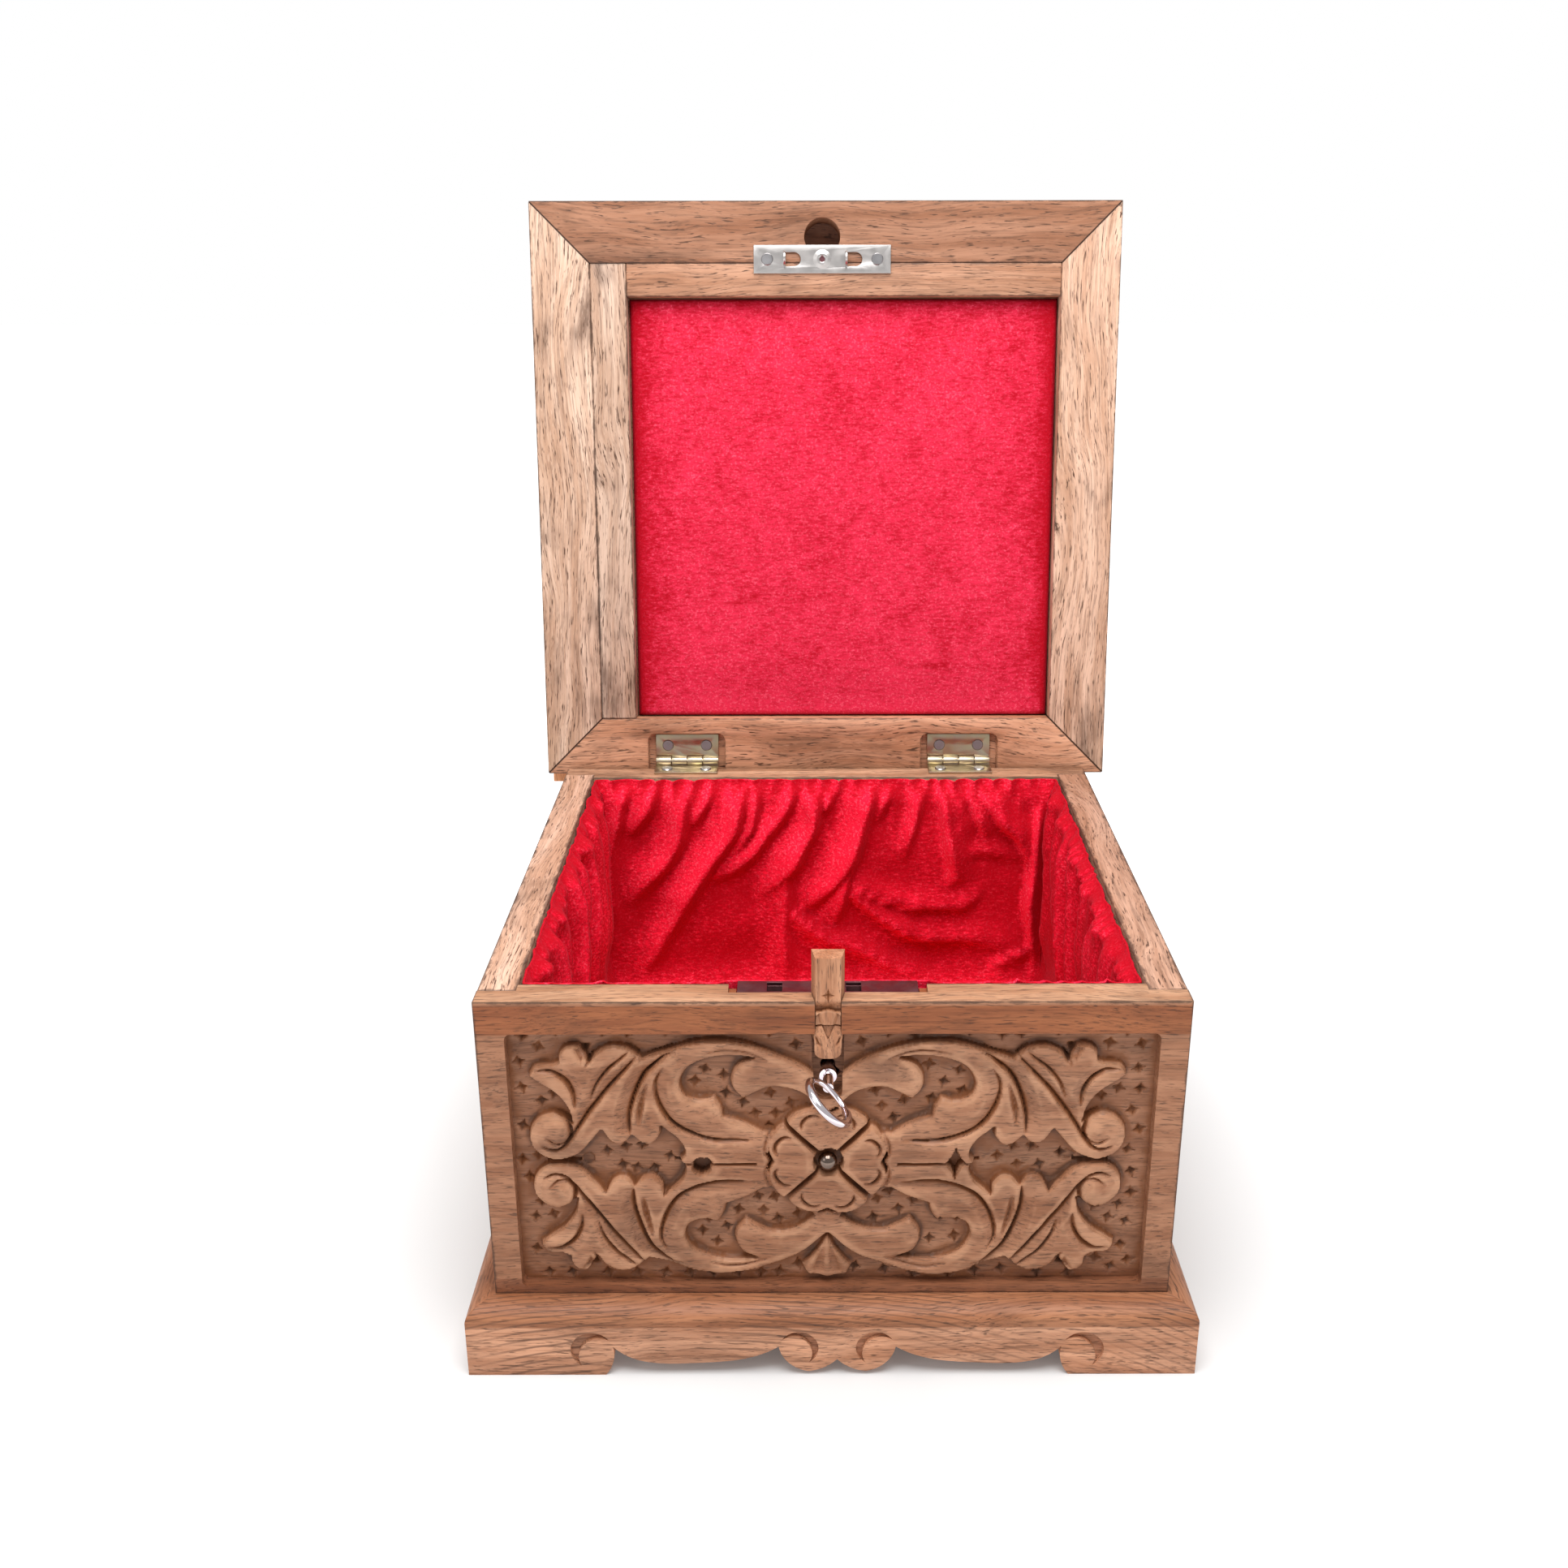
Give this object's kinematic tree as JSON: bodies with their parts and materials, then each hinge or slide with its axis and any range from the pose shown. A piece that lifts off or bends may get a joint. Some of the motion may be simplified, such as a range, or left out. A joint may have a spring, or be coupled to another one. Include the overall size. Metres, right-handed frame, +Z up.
{
  "type": "puzzle box",
  "caption": "Square carved walnut box on a scrolled plinth with a hinged lid, velvet lining, box lock with a ring key and a keyhole cover that slides in a dovetailed slot.",
  "frame": {"origin": "centre of the plinth's footprint on the ground", "axes": "+X to the right of someone facing the carved front, +Y from the front to the hinges, +Z up"},
  "size_m": [0.2206, 0.276, 0.3331],
  "materials": {
    "walnut": "satin",
    "pale_wood": "satin",
    "plywood": "matte",
    "velvet": "matte",
    "key_metal": "polished",
    "strike_nickel": "polished",
    "lock_steel": "satin",
    "nail_steel": "satin",
    "hinge_brass": "satin",
    "bead_metal": "satin"
  },
  "bodies": {
    "box": {"base_front": "walnut", "base_back": "walnut", "base_left": "walnut", "base_right": "walnut", "floor_board": "plywood", "front_wall": "walnut", "back_wall": "walnut", "left_wall": "walnut", "right_wall": "walnut", "rosette_bead": "bead_metal", "lock_selvedge": "lock_steel", "lock_case": "lock_steel", "hinge_left_box_leaf": "hinge_brass", "hinge_left_pin": "nail_steel", "hinge_right_box_leaf": "hinge_brass", "hinge_right_pin": "nail_steel", "hinge_box_nails": "nail_steel", "lining_front": "velvet", "lining_back": "velvet", "lining_left": "velvet", "lining_right": "velvet", "lining_floor": "velvet"},
    "lid": {"lid_rail_front": "walnut", "lid_rail_back": "walnut", "lid_rail_left": "walnut", "lid_rail_right": "walnut", "lid_top_panel": "walnut", "lid_strip_front": "walnut", "lid_strip_left": "walnut", "lid_velvet_pad": "velvet", "strike_plate": "strike_nickel", "strike_nails": "nail_steel", "hinge_left_lid_leaf": "hinge_brass", "hinge_right_lid_leaf": "hinge_brass", "hinge_lid_nails": "nail_steel"},
    "keyhole_cover": {"keyhole_cover": "walnut"},
    "lock_bolt": {"lock_bolt": "lock_steel"},
    "key_turner": {"drill_pin": "lock_steel"},
    "key": {"key": "key_metal"},
    "secret_slide": {"secret_slide": "pale_wood"}
  },
  "joints": [
    {"name": "lid_hinge", "type": "hinge", "parent": "box", "child": "lid", "pos_m": [0, 0.1026, 0.1246], "axis": [1, 0, 0], "range_deg": [0, 98.63]},
    {"name": "key_turn", "type": "hinge", "parent": "box", "child": "key_turner", "pos_m": [-0.0013, 0, 0.0985], "axis": [0, 1, 0], "range_deg": [0, 180]},
    {"name": "key_draw", "type": "slide", "parent": "key_turner", "child": "key", "axis": [0, -1, 0], "range_m": [0, 0.075]},
    {"name": "cover_slide", "type": "slide", "parent": "box", "child": "keyhole_cover", "axis": [0, 0, 1], "range_m": [-0.0134, 0]},
    {"name": "bolt_slide", "type": "slide", "parent": "box", "child": "lock_bolt", "axis": [1, 0, 0], "range_m": [0, 0.0036]},
    {"name": "secret_slide", "type": "slide", "parent": "lid", "child": "secret_slide", "axis": [0, -0.1501, -0.9887], "range_m": [-0.0038, 0.05]}
  ],
  "couplings": [
    {"joint": "cover_slide", "follows": "key_draw", "ratio": -0.17867},
    {"joint": "key_turn", "follows": "bolt_slide", "rad_per_m": 872.6}
  ]
}
